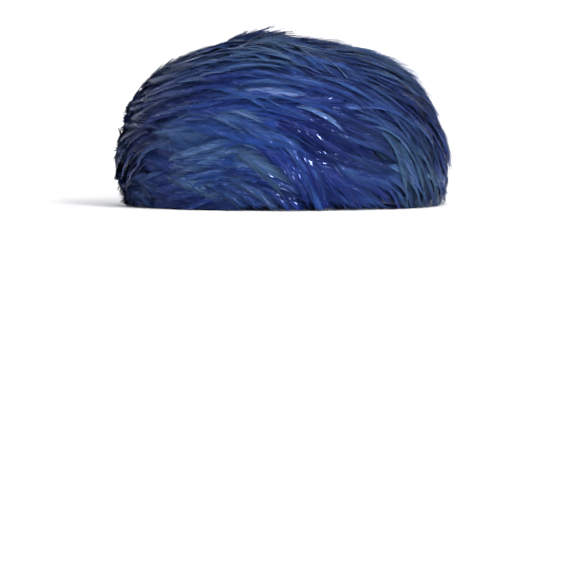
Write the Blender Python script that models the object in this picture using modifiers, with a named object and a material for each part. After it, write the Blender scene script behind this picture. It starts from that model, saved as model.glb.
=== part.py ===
"""A blue feather toque: a felt cap base with a bound rim, covered by overlapping rows of feathers.

The hat stands on its rim. The origin is on the ground under the middle of the hat, the front looks
along -Y and +Z is up. Round the hat, an angle of 0 is the front and it grows towards +X. Up the hat,
a climb is the distance from the rim along the side of the cap base, from 0 to the top of the crown.
"""

import math
from collections import namedtuple

import bmesh
import bpy
import numpy as np

# The whole hat over its feathers
HAT_WIDTH = 0.197
HAT_DEPTH = 0.230
HAT_HEIGHT = 0.100

# The cap base: a felt shell, widest a little above the rim and drawn in at it
BASE_WALL = 0.002
BULGE_HEIGHT = 0.023
RIM_TUCK_SHARE = 0.05
DOME_POWER = 2.2

# The rim rises a little over the brow, and the lowest feathers follow it
BROW_RISE = 0.007
BROW_SPREAD = math.radians(72)
BROW_REACH = 0.045

# The ribbon folded over the rim
BINDING_THICKNESS = 0.0008
BINDING_HEIGHT = 0.005
SEAT_GAP = 0.0003
BASE_RIM_HEIGHT = BINDING_THICKNESS + SEAT_GAP

# The feathers: a row's roots lie on the base, and its tips ride up over the row below
ROOT_LIFT = 0.0004
TIP_LIFT = 0.0062
FEATHER_THICKNESS = 0.0015
LOCK_RELIEF = 0.0015
CURL_UNDER = 0.0025
COVER_DEPTH = TIP_LIFT + FEATHER_THICKNESS + LOCK_RELIEF
CROWN_COVER_DEPTH = 0.0065
HALF_WIDTH = HAT_WIDTH / 2 - COVER_DEPTH
HALF_DEPTH = HAT_DEPTH / 2 - COVER_DEPTH
CROWN_HEIGHT = HAT_HEIGHT - CROWN_COVER_DEPTH
LENGTH_SPREAD = 0.35
SWEEP_SWING = 0.35
SEED = 7

# Mesh steps
RIM_COLUMNS = 56
BASE_ROWS = 10
ROW_STEPS = 4
CROWN_STEPS = 5
MERIDIAN_SAMPLES = 240
NUDGE = 0.0005
WELD = 0.00002

# One lock of feathers from its trailing edge to the next lock: where each mesh column lies across it,
# how far it stands out, and how far it reaches towards the lock's point
LockColumn = namedtuple("LockColumn", "across relief reach")
LOCK_COLUMNS = (
    LockColumn(across=0.00, relief=0.10, reach=0.10),
    LockColumn(across=0.45, relief=1.00, reach=1.00),
    LockColumn(across=0.90, relief=0.00, reach=0.35),
)

# Paint: colour as linear red, green and blue, with roughness
Finish = namedtuple("Finish", "name colour roughness")
FELT = Finish(name="navy_felt", colour=(0.014, 0.020, 0.060), roughness=0.95)
RIBBON = Finish(name="slate_ribbon", colour=(0.105, 0.120, 0.220), roughness=0.60)
DEEP_ROYAL = Finish(name="deep_royal_feather", colour=(0.018, 0.034, 0.190), roughness=0.50)
STEEL_BLUE = Finish(name="steel_blue_feather", colour=(0.042, 0.090, 0.235), roughness=0.50)
ROYAL = Finish(name="royal_feather", colour=(0.020, 0.042, 0.215), roughness=0.50)
VIOLET_BLUE = Finish(name="violet_blue_feather", colour=(0.026, 0.034, 0.165), roughness=0.50)
SLATE_BLUE = Finish(name="slate_blue_feather", colour=(0.040, 0.080, 0.180), roughness=0.50)
TEAL_GREY = Finish(name="teal_grey_feather", colour=(0.034, 0.068, 0.120), roughness=0.55)

# One row of feathers: the climbs of its roots and tips, its locks and how far their points reach,
# how far round the hat its feathers sweep between root and tip, and its dye
Row = namedtuple("Row", "name root tip locks point sweep finish")
ROWS = (
    Row("feather_row_1", root=0.038, tip=0.0065, locks=25, point=0.0045, sweep=0.072, finish=DEEP_ROYAL),
    Row("feather_row_2", root=0.062, tip=0.029, locks=25, point=0.009, sweep=0.072, finish=STEEL_BLUE),
    Row("feather_row_3", root=0.085, tip=0.052, locks=24, point=0.009, sweep=0.068, finish=ROYAL),
    Row("feather_row_4", root=0.108, tip=0.075, locks=20, point=0.009, sweep=0.060, finish=VIOLET_BLUE),
    Row("feather_row_5", root=0.130, tip=0.097, locks=15, point=0.009, sweep=0.046, finish=SLATE_BLUE),
)

# The whorl that closes the top: it turns by an angle, and mounds up quickly from its middle
CROWN_TIP = 0.118
CROWN_LOCKS = 10
CROWN_POINT = 0.009
CROWN_TURN = math.radians(52)
CROWN_MOUND_POWER = 0.4


def clear_scene():
    """Remove whatever the scene holds."""
    for thing in list(bpy.data.objects):
        bpy.data.objects.remove(thing)


def make_material(finish):
    """A material in one finish."""
    material = bpy.data.materials.new(finish.name)
    material.use_nodes = True
    shader = material.node_tree.nodes["Principled BSDF"]
    shader.inputs["Base Color"].default_value = (*finish.colour, 1.0)
    shader.inputs["Roughness"].default_value = finish.roughness
    shader.inputs["Metallic"].default_value = 0.0
    return material


def meridian():
    """The base's outer face up the side: climbs, shares of the half axes, and heights."""
    rise = np.linspace(0.0, 1.0, MERIDIAN_SAMPLES)
    low_height = BASE_RIM_HEIGHT + rise * (BULGE_HEIGHT - BASE_RIM_HEIGHT)
    low_share = 1.0 - RIM_TUCK_SHARE * (1.0 - low_height / BULGE_HEIGHT) ** 2
    turn = rise[1:] * math.pi / 2
    high_height = BULGE_HEIGHT + (CROWN_HEIGHT - BULGE_HEIGHT) * np.sin(turn) ** (2 / DOME_POWER)
    high_share = np.clip(np.cos(turn), 0.0, 1.0) ** (2 / DOME_POWER)
    heights = np.concatenate([low_height, high_height])
    shares = np.concatenate([low_share, high_share])
    shares[-1] = 0.0
    steps = np.hypot(np.diff(shares) * HALF_WIDTH, np.diff(heights))
    return np.concatenate([[0.0], np.cumsum(steps)]), shares, heights


CLIMBS, SHARES, HEIGHTS = meridian()
CROWN_TOP = float(CLIMBS[-1])


def brow_rise(angle):
    """How far the rim rises at this angle."""
    from_front = abs(math.remainder(angle, 2 * math.pi))
    if from_front >= BROW_SPREAD:
        return 0.0
    return BROW_RISE * math.cos(math.pi / 2 * from_front / BROW_SPREAD) ** 2


def base_point(angle, climb):
    """The point of the base's outer face at this angle and climb."""
    along = climb + brow_rise(angle) * max(1.0 - climb / BROW_REACH, 0.0)
    share = float(np.interp(along, CLIMBS, SHARES))
    height = float(np.interp(along, CLIMBS, HEIGHTS))
    return np.array(
        [HALF_WIDTH * share * math.sin(angle), -HALF_DEPTH * share * math.cos(angle), height]
    )


def facing(angle, climb):
    """The way the base's outer face looks at this angle and climb."""
    if climb > CROWN_TOP - NUDGE:
        return np.array([0.0, 0.0, 1.0])
    low = min(max(climb - NUDGE, 0.0), CROWN_TOP - 3 * NUDGE)
    uphill = base_point(angle, low + 2 * NUDGE) - base_point(angle, low)
    round_hat = base_point(angle + NUDGE, low + NUDGE) - base_point(angle - NUDGE, low + NUDGE)
    way = np.cross(round_hat, uphill)
    return way / np.linalg.norm(way)


def outward(angle, climb):
    """The way feathers stand off the base: straight out, and level where the base leans in below."""
    way = facing(angle, climb)
    way[2] = max(way[2], 0.0)
    return way / np.linalg.norm(way)


def skin_point(angle, climb, lift):
    """The point that stands this far out from the base."""
    return base_point(angle, climb) + lift * outward(angle, climb)


def wrapped_mesh(name, columns, rows, place):
    """A mesh wrapped round the hat, where place(u, v) gives the point for u and v from 0 to 1."""
    grid = bmesh.new()
    bmesh.ops.create_grid(grid, x_segments=columns, y_segments=rows, size=0.5)
    for vertex in grid.verts:
        vertex.co = place(vertex.co.x + 0.5, vertex.co.y + 0.5)
    bmesh.ops.remove_doubles(grid, verts=grid.verts, dist=WELD)
    mesh = bpy.data.meshes.new(name)
    grid.to_mesh(mesh)
    grid.free()
    return mesh


def add_object(name, mesh, finish, collection, parent=None):
    """An object that shows the mesh, shaded smooth, in its own material."""
    made = bpy.data.objects.new(name, mesh)
    mesh.materials.append(make_material(finish))
    mesh.shade_smooth()
    collection.objects.link(made)
    made.parent = parent
    return made


def add_wall(made, thickness, even):
    """Give an open skin its thickness, on the side towards the head."""
    wall = made.modifiers.new("wall", "SOLIDIFY")
    wall.thickness = thickness
    wall.offset = -1.0
    wall.use_even_offset = even


def build_base(collection):
    """The felt cap base: one hollow shell, open at the rim."""

    def place(u, v):
        above_binding = BASE_RIM_HEIGHT + BINDING_HEIGHT
        step = round(v * BASE_ROWS)
        share = (step - 1) / (BASE_ROWS - 1)
        climb = above_binding + (CROWN_TOP - above_binding) * share if step else 0.0
        return base_point(2 * math.pi * u, climb)

    mesh = wrapped_mesh("cap_base", RIM_COLUMNS, BASE_ROWS, place)
    base = add_object("cap_base", mesh, FELT, collection)
    add_wall(base, BASE_WALL, even=True)
    return base


def binding_section():
    """The folded ribbon's closed section: distances out from the wall's outer face, and heights."""
    near = SEAT_GAP
    far = near + BINDING_THICKNESS
    near_inside = -BASE_WALL - near
    far_inside = -BASE_WALL - far
    fold = BINDING_THICKNESS
    return (
        (far, 0.0),
        (far, BINDING_HEIGHT),
        (near, BINDING_HEIGHT),
        (near, fold),
        (near_inside, fold),
        (near_inside, BINDING_HEIGHT),
        (far_inside, BINDING_HEIGHT),
        (far_inside, 0.0),
    )


def build_binding(base, collection):
    """The ribbon folded over the rim, flat where the hat stands on it."""
    section = binding_section()

    def place(u, v):
        angle = 2 * math.pi * u
        out, height = section[round(v * len(section)) % len(section)]
        way = facing(angle, 0.0)
        level = math.hypot(way[0], way[1])
        lean = -way[2] / level
        rim = base_point(angle, 0.0)
        above = height - BASE_RIM_HEIGHT
        step = out / level + lean * above
        return rim + np.array([way[0] / level * step, way[1] / level * step, above])

    mesh = wrapped_mesh("rim_binding", RIM_COLUMNS, len(section), place)
    add_object("rim_binding", mesh, RIBBON, collection, parent=base)


def lock_lengths(count, rng):
    """How much longer or shorter each lock of a row is, as shares of its point."""
    return 1.0 + LENGTH_SPREAD * (2.0 * rng.random(count) - 1.0)


def column_of(u, locks):
    """The lock and the lock's column for u from 0 to 1."""
    index = round(u * locks * len(LOCK_COLUMNS))
    lock, column = divmod(index, len(LOCK_COLUMNS))
    return lock, LOCK_COLUMNS[column]


def build_row(row, base, collection, rng):
    """One row of feathers: a skin of leaning locks, rooted on the base and lapping over the row below."""
    lengths = lock_lengths(row.locks, rng)
    radius = HALF_WIDTH * float(np.interp((row.root + row.tip) / 2, CLIMBS, SHARES))

    def place(u, v):
        lock, column = column_of(u, row.locks)
        start = 2 * math.pi * (lock + column.across) / row.locks
        down = 1.0 - v
        reach = row.point * column.reach * lengths[lock % row.locks]
        climb = row.root + (row.tip - reach - row.root) * down
        angle = start + down * row.sweep / radius * (1.0 - SWEEP_SWING * math.sin(start))
        swell = ROOT_LIFT + (TIP_LIFT - ROOT_LIFT) * down
        if row is ROWS[0]:
            swell -= CURL_UNDER * max(2 * down - 1.0, 0.0) ** 2
        lift = swell + FEATHER_THICKNESS + LOCK_RELIEF * column.relief * down
        return skin_point(angle, max(climb, SEAT_GAP), lift)

    mesh = wrapped_mesh(row.name, row.locks * len(LOCK_COLUMNS), ROW_STEPS, place)
    made = add_object(row.name, mesh, row.finish, collection, parent=base)
    add_wall(made, FEATHER_THICKNESS, even=False)


def build_crown(base, collection, rng):
    """The whorl of feathers over the top of the crown."""
    lengths = lock_lengths(CROWN_LOCKS, rng)

    def place(u, v):
        lock, column = column_of(u, CROWN_LOCKS)
        start = 2 * math.pi * (lock + column.across) / CROWN_LOCKS
        out = 1.0 - v
        reach = CROWN_POINT * column.reach * lengths[lock % CROWN_LOCKS]
        climb = CROWN_TOP - (CROWN_TOP - CROWN_TIP + reach) * out
        swell = ROOT_LIFT + (TIP_LIFT - ROOT_LIFT) * out**CROWN_MOUND_POWER
        lift = swell + FEATHER_THICKNESS + LOCK_RELIEF * column.relief * out
        if v > 1.0 - WELD:
            return skin_point(0.0, CROWN_TOP, lift)
        return skin_point(start + CROWN_TURN * out, climb, lift)

    mesh = wrapped_mesh("crown_feathers", CROWN_LOCKS * len(LOCK_COLUMNS), CROWN_STEPS, place)
    made = add_object("crown_feathers", mesh, TEAL_GREY, collection, parent=base)
    add_wall(made, FEATHER_THICKNESS, even=False)


def main():
    """Build the hat."""
    clear_scene()
    hat = bpy.data.collections.new("feather_hat")
    bpy.context.scene.collection.children.link(hat)
    rng = np.random.default_rng(SEED)
    base = build_base(hat)
    build_binding(base, hat)
    for row in ROWS:
        build_row(row, base, hat, rng)
    build_crown(base, hat, rng)


main()
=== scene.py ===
"""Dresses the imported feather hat: separate dyed feathers in swept rows over its felt cap and bound rim.

Lengths are in metres and angles in radians, unless a name says otherwise. The front looks along -Y
and +Z is up. Round the hat, an angle is 0 at the front and grows towards +X. Up the hat, a climb is
the distance from the rim along the side of the cap, from 0 to the top of the crown. Each feather is
a rachis, the shaft down its middle, with two vanes of separate tapering barbs. Along a feather, a
share is 0 at its root and 1 at its tip.
"""

import logging
import math
from collections.abc import Callable
from dataclasses import dataclass, field
from enum import Enum
from typing import Any, NamedTuple

import bpy
import numpy as np
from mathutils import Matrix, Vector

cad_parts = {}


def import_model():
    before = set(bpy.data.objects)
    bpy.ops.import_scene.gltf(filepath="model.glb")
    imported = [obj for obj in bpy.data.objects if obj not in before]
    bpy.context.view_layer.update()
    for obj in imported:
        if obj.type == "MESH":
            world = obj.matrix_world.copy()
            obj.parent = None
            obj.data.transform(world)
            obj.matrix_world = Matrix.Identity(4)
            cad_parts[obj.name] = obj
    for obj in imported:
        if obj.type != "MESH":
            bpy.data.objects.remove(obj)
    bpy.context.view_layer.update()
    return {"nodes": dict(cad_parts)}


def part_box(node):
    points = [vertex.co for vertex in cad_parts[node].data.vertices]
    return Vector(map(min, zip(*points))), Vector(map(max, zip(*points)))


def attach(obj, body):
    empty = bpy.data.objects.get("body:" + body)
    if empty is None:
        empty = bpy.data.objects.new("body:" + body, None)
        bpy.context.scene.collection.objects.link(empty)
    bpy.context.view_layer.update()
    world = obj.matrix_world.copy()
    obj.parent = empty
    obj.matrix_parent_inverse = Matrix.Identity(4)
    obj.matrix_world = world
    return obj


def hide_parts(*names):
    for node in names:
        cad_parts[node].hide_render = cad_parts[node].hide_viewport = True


LOG = logging.getLogger("feather_hat")
MM = 0.001
BAKE_MAP = "OFBake"
ADD = {"operation": "ADD"}
MULTIPLY = {"operation": "MULTIPLY"}
MULTIPLY_ADD = {"operation": "MULTIPLY_ADD"}
MIX_COLOURS = {"data_type": "RGBA"}


class Side(Enum):
    """The two vanes of a feather, by the way they lie on the hat."""

    UPPER = 1.0
    LOWER = -1.0


class Finish(Enum):
    """The places of a feather's materials on its piece."""

    VANE = 0
    SHAFT = 1
    SLICK = 2


class Blue(Enum):
    """The blues that the dye gave: each one's place on the feather's ramp, and its colour."""

    NAVY = (0.0, "#0d123a")
    INDIGO = (0.18, "#131b52")
    ROYAL = (0.38, "#192a6a")
    BRIGHT = (0.54, "#20397a")
    STEEL = (0.70, "#2a4879")
    SLATE = (0.84, "#3e5a89")
    PALE = (1.0, "#6576a6")


class Grey(Enum):
    """The teal greys of feathers that took little dye: each one's place on the ramp, and its colour."""

    DEEP = (0.0, "#101c2c")
    MIDDLE = (0.55, "#2d445d")
    PALE = (1.0, "#5f778b")


def linear(hex_colour: str) -> tuple[float, float, float, float]:
    """Turn an sRGB hex colour into linear light.

    Args:
        hex_colour: Six hex digits after a hash, such as "#22358a".

    Returns:
        Linear red, green, blue and an alpha of 1.
    """
    channels = [int(hex_colour[i : i + 2], 16) / 255 for i in (1, 3, 5)]
    light = [c / 12.92 if c <= 0.04045 else ((c + 0.055) / 1.055) ** 2.4 for c in channels]
    return (light[0], light[1], light[2], 1.0)


def fill_inputs(tree: Any, node: Any, *values: Any, **inputs: Any) -> None:
    """Set or link a node's inputs.

    Args:
        tree: The node tree.
        node: The node.
        *values: A value or an output socket for each of the node's first inputs.
        **inputs: One for each further input, by its name with spaces as underscores, or by its number
            after the letter i.
    """
    numbered = {f"i{number}": value for number, value in enumerate(values)}
    for name, value in {**numbered, **inputs}.items():
        by_number = name[0] == "i" and name[1:].isdigit()
        socket = node.inputs[int(name[1:])] if by_number else node.inputs[name.replace("_", " ")]
        if isinstance(value, bpy.types.NodeSocket):
            tree.links.new(value, socket)
        else:
            socket.default_value = value


def add_node(
    tree: Any,
    kind: str,
    *values: Any,
    settings: dict[str, Any] | None = None,
    output: int | str = 0,
    **inputs: Any,
) -> Any:
    """Add a shader node to a node tree, with its settings and links.

    Args:
        tree: The node tree.
        kind: The node's type without its first words, such as "TexNoise".
        *values: The node's first inputs, as fill_inputs takes them.
        settings: The node's own properties, by name.
        output: The number or the name of the output to return.
        **inputs: The node's further inputs.

    Returns:
        The output socket.
    """
    node = tree.nodes.new(f"ShaderNode{kind}")
    for name, value in (settings or {}).items():
        setattr(node, name, value)
    fill_inputs(tree, node, *values, **inputs)
    return node.outputs[output]


def fill_ramp(ramp: Any, stops: type[Enum]) -> None:
    """Set a ramp's colours.

    Args:
        ramp: The colour ramp.
        stops: The places from 0 to 1 with their hex colours.
    """
    while len(ramp.elements) < len(stops):
        ramp.elements.new(0.5)
    for element, stop in zip(ramp.elements, stops):
        place, colour = stop.value
        element.position = place
        element.color = linear(colour)


def new_material(name: str) -> tuple[Any, Any, Any]:
    """Start a node material.

    Args:
        name: The material's name.

    Returns:
        The material, its node tree and its Principled shader.
    """
    material = bpy.data.materials.new(name)
    material.use_nodes = True
    tree = material.node_tree
    return material, tree, tree.nodes["Principled BSDF"]


def new_object(name: str, data: Any) -> Any:
    """Make an object and link it to the scene.

    Args:
        name: The object's name.
        data: Its mesh, lamp or camera.

    Returns:
        The object.
    """
    made = bpy.data.objects.new(name, data)
    bpy.context.scene.collection.objects.link(made)
    return made


def set_materials(piece: Any, *materials: Any) -> None:
    """Give a piece these materials in place of any that it has.

    Args:
        piece: The mesh object.
        *materials: The materials, in the order of its faces' numbers.
    """
    if piece.data.materials:
        piece.data.materials.clear()
    for material in materials:
        piece.data.materials.append(material)


def smooth(low: float, high: float, value: np.ndarray) -> np.ndarray:
    """Ease values from 0 at the low one to 1 at the high one."""
    share = np.clip((value - low) / (high - low), 0.0, 1.0)
    return share * share * (3.0 - 2.0 * share)


def unit(vectors: np.ndarray) -> np.ndarray:
    """Scale vectors to a length of 1 along their last axis."""
    return vectors / np.maximum(np.linalg.norm(vectors, axis=-1, keepdims=True), 1e-12)


def wrapped(angle: np.ndarray) -> np.ndarray:
    """Bring angles into the one turn from -pi to pi."""
    return (angle + math.pi) % (2 * math.pi) - math.pi


def turned(start: np.ndarray, end: np.ndarray, angle: np.ndarray) -> np.ndarray:
    """Turn unit vectors by angles towards others, which lie a quarter turn from them."""
    return np.cos(angle)[..., None] * start + np.sin(angle)[..., None] * end


def bell(rng: np.random.Generator, size: int | tuple[int, ...]) -> np.ndarray:
    """Draw from a bell curve with a spread of 1, cut off at twice its spread."""
    return rng.normal(size=size).clip(-2.0, 2.0)


class Swirl(NamedTuple):
    """A place where the feathers were pressed away from the general flow."""

    angle_deg: float
    climb_mm: float
    reach_mm: float
    turn_deg: float


class DyeAndPaintedLightPatch(NamedTuple):
    """A part of the hat with one tone: mostly where the dye took in one way, while a few patches paint
    shade, and two paint light, as darker or paler dye.

    Its dye goes from navy, 0, to pale, 1, and its grey is the share of teal grey in the blue.
    """

    angle_deg: float
    climb_mm: float
    reach_mm: float
    dye: float
    grey: float = 0.0


class Puff(NamedTuple):
    """A place where the feathers stand higher off the cap, or lower."""

    angle_deg: float
    climb_mm: float
    reach_mm: float
    rise_mm: float


Spot = Swirl | DyeAndPaintedLightPatch | Puff


@dataclass
class HatForm:
    """The outer face of the felt cap, which the feathers are laid out on.

    The sizes that aren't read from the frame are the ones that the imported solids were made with.
    """

    half_width: float
    half_depth: float
    crown_height: float
    rim_height: float
    bulge_height: float = 0.023
    rim_tuck_share: float = 0.05
    dome_power: float = 2.2
    brow_rise: float = 0.007
    brow_spread: float = math.radians(72)
    brow_reach: float = 0.045
    samples: int = 400
    climbs: np.ndarray = field(init=False)
    shares: np.ndarray = field(init=False)
    heights: np.ndarray = field(init=False)

    def __post_init__(self) -> None:
        """Work out the curve up the side: its climbs, shares of the half axes, and heights."""
        rise = np.linspace(0.0, 1.0, self.samples)
        low_height = self.rim_height + rise * (self.bulge_height - self.rim_height)
        low_share = 1.0 - self.rim_tuck_share * (1.0 - low_height / self.bulge_height) ** 2
        turn = rise[1:] * math.pi / 2
        dome = self.crown_height - self.bulge_height
        high_height = self.bulge_height + dome * np.sin(turn) ** (2 / self.dome_power)
        high_share = np.clip(np.cos(turn), 0.0, 1.0) ** (2 / self.dome_power)
        self.heights = np.concatenate([low_height, high_height])
        self.shares = np.concatenate([low_share, high_share])
        steps = np.hypot(np.diff(self.shares) * self.half_width, np.diff(self.heights))
        self.climbs = np.concatenate([[0.0], np.cumsum(steps)])

    @classmethod
    def from_frame(cls) -> "HatForm":
        """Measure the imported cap's outer face."""
        low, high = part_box("cap_base")
        return cls(
            half_width=(high[0] - low[0]) / 2,
            half_depth=(high[1] - low[1]) / 2,
            crown_height=high[2],
            rim_height=low[2],
        )

    @property
    def top(self) -> float:
        """The climb at the top of the crown."""
        return float(self.climbs[-1])

    def to_chart(self, angle: np.ndarray, climb: np.ndarray) -> np.ndarray:
        """Lay places out on a flat chart: its middle is the crown's top, and Y goes to the back."""
        down = self.top - climb
        return np.stack([down * np.sin(angle), -down * np.cos(angle)], axis=-1)

    def from_chart(self, place: np.ndarray) -> tuple[np.ndarray, np.ndarray]:
        """Read the angles and climbs of chart places."""
        down = np.hypot(place[..., 0], place[..., 1])
        return np.arctan2(place[..., 0], -place[..., 1]), self.top - down

    def brow(self, angle: np.ndarray) -> np.ndarray:
        """Find how far the rim rises.

        Args:
            angle: Angles round the hat.

        Returns:
            The rises.
        """
        from_front = np.abs(wrapped(angle))
        share = np.clip(from_front / self.brow_spread, 0.0, 1.0)
        return self.brow_rise * np.cos(math.pi / 2 * share) ** 2

    def point(self, angle: np.ndarray, climb: np.ndarray) -> np.ndarray:
        """Find points of the cap's outer face.

        Args:
            angle: Angles round the hat.
            climb: Climbs, where one under 0 hangs straight down from the rim.

        Returns:
            The points, with X, Y and Z along a new last axis.
        """
        above = np.maximum(climb, 0.0)
        along = above + self.brow(angle) * np.maximum(1.0 - above / self.brow_reach, 0.0)
        share = np.interp(along, self.climbs, self.shares)
        height = np.interp(along, self.climbs, self.heights) + np.minimum(climb, 0.0)
        return np.stack(
            [self.half_width * share * np.sin(angle), -self.half_depth * share * np.cos(angle), height],
            axis=-1,
        )

    def nearness(self, angle: np.ndarray, climb: np.ndarray, spot: Spot) -> np.ndarray:
        """Find how near places lie to a spot, as a bell curve.

        Args:
            angle: Angles round the hat.
            climb: Climbs.
            spot: The spot, at whose reach the curve has fallen to 0.37.

        Returns:
            Shares that are 1 at the spot's middle.
        """
        turn = wrapped(angle - math.radians(spot.angle_deg))
        far = np.hypot(turn * self.half_width, climb - spot.climb_mm * MM) / (spot.reach_mm * MM)
        return np.exp(-far * far)

    def axes(self, angle: np.ndarray, climb: np.ndarray) -> tuple[np.ndarray, np.ndarray]:
        """Find how points of the cap move as their angles and their climbs grow.

        Args:
            angle: Angles round the hat.
            climb: Climbs.

        Returns:
            The move for each radian and the move for each metre of climb.
        """
        nudge = 0.4 * MM
        low = np.clip(climb, nudge, self.top - 3 * nudge)
        around = (self.point(angle + nudge, low) - self.point(angle - nudge, low)) / (2 * nudge)
        uphill = (self.point(angle, low + nudge) - self.point(angle, low - nudge)) / (2 * nudge)
        return around, uphill

    def outward(self, angle: np.ndarray, climb: np.ndarray) -> np.ndarray:
        """Find the way that feathers stand off the cap, which never points down.

        Args:
            angle: Angles round the hat.
            climb: Climbs.

        Returns:
            Unit vectors.
        """
        way = np.cross(*self.axes(angle, climb))
        way[..., 2] = np.maximum(way[..., 2], 0.0)
        return unit(way)


SWIRLS = (
    Swirl(angle_deg=6, climb_mm=27, reach_mm=18, turn_deg=20),
    Swirl(angle_deg=-61, climb_mm=20, reach_mm=12, turn_deg=-22),
    Swirl(angle_deg=-44, climb_mm=28, reach_mm=12, turn_deg=16),
    Swirl(angle_deg=-66, climb_mm=47, reach_mm=10, turn_deg=24),
    Swirl(angle_deg=-20, climb_mm=22, reach_mm=12, turn_deg=-28),
    Swirl(angle_deg=-17, climb_mm=44, reach_mm=13, turn_deg=-8),
    Swirl(angle_deg=25, climb_mm=48, reach_mm=13, turn_deg=-16),
    Swirl(angle_deg=49, climb_mm=21, reach_mm=18, turn_deg=20),
    Swirl(angle_deg=29, climb_mm=15, reach_mm=11, turn_deg=-12),
    Swirl(angle_deg=-8, climb_mm=102, reach_mm=18, turn_deg=20),
    Swirl(angle_deg=-48, climb_mm=94, reach_mm=13, turn_deg=-8),
    Swirl(angle_deg=22, climb_mm=84, reach_mm=15, turn_deg=12),
    Swirl(angle_deg=150, climb_mm=20, reach_mm=24, turn_deg=22),
    Swirl(angle_deg=-140, climb_mm=36, reach_mm=22, turn_deg=-20),
    Swirl(angle_deg=-100, climb_mm=60, reach_mm=26, turn_deg=16),
    Swirl(angle_deg=110, climb_mm=56, reach_mm=24, turn_deg=-18),
)


class Ripple(NamedTuple):
    """A slight wave in the flow: how many there are round the hat, and how they slant up it."""

    waves: int
    slant: float


RIPPLES = (Ripple(waves=5, slant=1.0), Ripple(waves=11, slant=-0.7))


@dataclass(frozen=True)
class FeatherFlow:
    """The way the feathers lie: round a whorl behind the top of the crown, with their tips lower.

    A heading is the angle of a feather's run below the level line. Since the whorl lies towards the
    back, the feathers cross the front of the crown from left to right.
    """

    form: HatForm
    whorl_back: float = 0.034
    whorl_reach: float = 0.050
    whorl_drop: float = math.radians(56)
    drop: float = math.radians(12)
    ripple: float = math.radians(4)
    ripple_climb: float = 0.010
    ripples: tuple[Ripple, ...] = RIPPLES
    swirls: tuple[Swirl, ...] = SWIRLS

    def whorl_plan(self, angle: np.ndarray, climb: np.ndarray) -> np.ndarray:
        """Find where places lie in plan, measured from the whorl."""
        return self.form.point(angle, climb)[..., :2] - np.array([0.0, self.whorl_back])

    def from_whorl(self, angle: np.ndarray, climb: np.ndarray) -> np.ndarray:
        """Find how far places lie from the whorl in plan."""
        return np.linalg.norm(self.whorl_plan(angle, climb), axis=-1)

    def heading(self, angle: np.ndarray, climb: np.ndarray) -> np.ndarray:
        """Find the heading of the feathers at places on the hat.

        Args:
            angle: Angles round the hat.
            climb: Climbs.

        Returns:
            Headings.
        """
        plan = self.whorl_plan(angle, climb)
        level = unit(self.form.axes(angle, climb)[0][..., :2])
        swing = np.arctan2(
            -plan[..., 1] * level[..., 1] - plan[..., 0] * level[..., 0],
            -plan[..., 1] * level[..., 0] + plan[..., 0] * level[..., 1],
        )
        near = 1.0 - smooth(0.0, self.whorl_reach, np.linalg.norm(plan, axis=-1))
        heading = swing + self.drop + (self.whorl_drop - self.drop) * near
        for ripple in self.ripples:
            phase = ripple.waves * angle + ripple.slant * climb / self.ripple_climb
            heading = heading + self.ripple * np.sin(phase)
        for swirl in self.swirls:
            heading = heading + math.radians(swirl.turn_deg) * self.form.nearness(angle, climb, swirl)
        return heading


class Lone(NamedTuple):
    """A feather that shows on its own in front, placed by its root and its tip.

    Its bow is how far its middle is pushed down from the straight run between them.
    """

    root_deg: float
    root_mm: float
    tip_deg: float
    tip_mm: float
    dye: float
    grey: float = 0.0
    bow_mm: float = -3
    width_mm: float = 8


class RowPlan(NamedTuple):
    """A row of feathers: the solid it replaces, and the climbs that its tips lie between."""

    node: str
    slot: str
    low_mm: float
    high_mm: float
    seed: int
    slick: bool


class Layer(NamedTuple):
    """One layer of feathers in a row, whose lines run round the hat."""

    line_gap_mm: float
    spacing_mm: float
    length_mm: float
    width_mm: float
    low_lift_mm: float
    high_lift_mm: float
    barbs: int
    bends: int
    # How much darker the layer's dye is made: painted shade on the layers that lie under others. Under 0,
    # as on the top slim layer, it is paler.
    darker: float
    slick: bool

    @property
    def bands(self) -> int:
        """How many bands a feather has in the bake's map: its barbs, its shaft and its slick barbs."""
        return 2 * self.barbs + 2


# Dye patches; the few marked below paint shade and light as darker and paler dye.
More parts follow.
